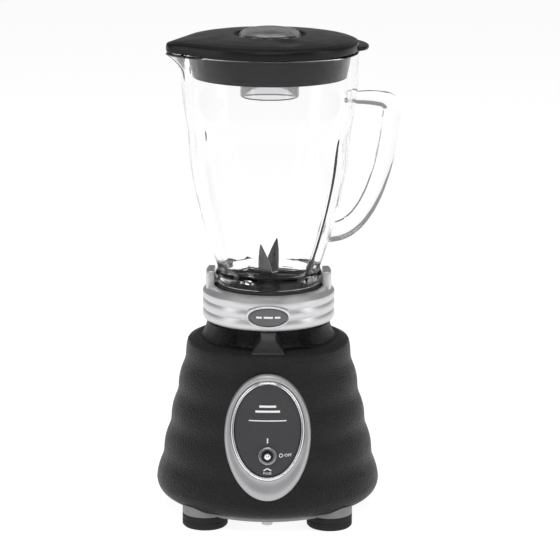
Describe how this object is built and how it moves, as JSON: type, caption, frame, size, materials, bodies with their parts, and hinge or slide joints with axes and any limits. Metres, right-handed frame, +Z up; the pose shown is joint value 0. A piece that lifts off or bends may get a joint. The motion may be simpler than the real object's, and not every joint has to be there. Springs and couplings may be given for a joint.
{
  "type": "countertop blender",
  "caption": "Countertop blender with a ringed tapered motor base, metal jar collar, toggle switch on an oval panel, flared glass jar with handle and spout, and a lid with a clear filler cap.",
  "frame": {"origin": "on the floor plane under the centre of the motor base", "axes": "+Z up, the control panel faces -Y, the jar's handle points to +X turned 16 degrees towards +Y and its spout the opposite way"},
  "size_m": [0.1922, 0.1841, 0.3889],
  "materials": {
    "crinkle_black_paint": "matte",
    "satin_silver": "satin",
    "bright_trim": "gloss",
    "panel_gloss": "gloss",
    "badge_grey": "satin",
    "chrome": "polished",
    "black_plastic": "satin",
    "black_rubber": "matte",
    "base_grey": "satin",
    "lid_black": "satin",
    "clear_glass": "polished",
    "clear_plastic": "gloss",
    "blade_steel": "satin",
    "bearing_steel": "satin",
    "screw_steel": "satin",
    "laminated_iron": "satin",
    "copper_winding": "satin",
    "cast_metal": "matte",
    "carbon": "matte",
    "brass": "satin"
  },
  "bodies": {
    "base": {"base_plate": "base_grey", "rubber_foot_1": "black_rubber", "rubber_foot_2": "black_rubber", "rubber_foot_3": "black_rubber", "rubber_foot_4": "black_rubber", "foot_screw_1": "screw_steel", "foot_screw_2": "screw_steel", "foot_screw_3": "screw_steel", "foot_screw_4": "screw_steel", "plate_screw_1": "screw_steel", "plate_screw_2": "screw_steel", "plate_screw_3": "screw_steel", "plate_screw_4": "screw_steel", "motor_housing": "crinkle_black_paint", "jar_collar": "satin_silver", "badge_rim": "satin_silver", "badge_plate": "badge_grey", "panel_bezel": "satin_silver", "panel_trim": "bright_trim", "control_panel": "panel_gloss", "switch_body": "black_plastic", "switch_nut": "chrome", "cord_gland": "black_plastic", "stator_core": "laminated_iron", "field_coil_left": "copper_winding", "field_coil_right": "copper_winding", "lower_bracket": "cast_metal", "upper_bracket": "cast_metal", "lower_bearing": "bearing_steel", "upper_bearing": "bearing_steel", "brush_holder_left": "brass", "brush_holder_right": "brass", "carbon_brush_left": "carbon", "carbon_brush_right": "carbon", "motor_bolt_1": "screw_steel", "motor_bolt_2": "screw_steel", "motor_bolt_3": "screw_steel", "motor_bolt_4": "screw_steel"},
    "toggle": {"toggle_lever": "chrome"},
    "rotor": {"motor_shaft": "bearing_steel", "rotor_core": "laminated_iron", "commutator": "copper_winding", "cooling_fan": "black_plastic", "drive_stud": "bearing_steel"},
    "blade_unit": {"jar_bottom_cap": "black_plastic", "blade_bearing": "black_plastic"},
    "blades": {"blade_shaft": "bearing_steel", "drive_socket": "bearing_steel", "blade_spacer": "bearing_steel", "lower_blade": "blade_steel", "upper_blade": "blade_steel", "blade_nut": "bearing_steel"},
    "seal": {"sealing_ring": "black_rubber"},
    "jar": {"glass_jar": "clear_glass"},
    "lid": {"lid": "lid_black"},
    "filler_cap": {"filler_cap": "clear_plastic"}
  },
  "joints": [
    {"name": "toggle_tilt", "type": "hinge", "parent": "base", "child": "toggle", "pos_m": [0, -0.08018, 0.06617], "axis": [-1, 0, 0], "range_deg": [-13, 13]},
    {"name": "motor_spin", "type": "hinge", "parent": "base", "child": "rotor", "pos_m": [0, 0, 0.0864], "axis": [0, 0, 1], "continuous": true},
    {"name": "jar_lift", "type": "slide", "parent": "base", "child": "blade_unit", "axis": [0, 0, 1], "range_m": [0, 0.06]},
    {"name": "blade_spin", "type": "hinge", "parent": "blade_unit", "child": "blades", "pos_m": [0, 0, 0.18], "axis": [0, 0, 1], "continuous": true},
    {"name": "thread_rise", "type": "slide", "parent": "blade_unit", "child": "seal", "axis": [0, 0, 1], "range_m": [0, 0.0091]},
    {"name": "jar_unscrew", "type": "hinge", "parent": "seal", "child": "jar", "pos_m": [0, 0, 0.18], "axis": [0, 0, 1], "range_deg": [0, 540]},
    {"name": "lid_lift", "type": "slide", "parent": "jar", "child": "lid", "axis": [0, 0, 1], "range_m": [0, 0.06]},
    {"name": "filler_lift", "type": "slide", "parent": "lid", "child": "filler_cap", "axis": [0, 0, 1], "range_m": [0, 0.06]}
  ],
  "couplings": [
    {"joint": "blade_spin", "follows": "motor_spin", "ratio": 1},
    {"joint": "thread_rise", "follows": "jar_unscrew", "m_per_rad": 0.00095493}
  ]
}
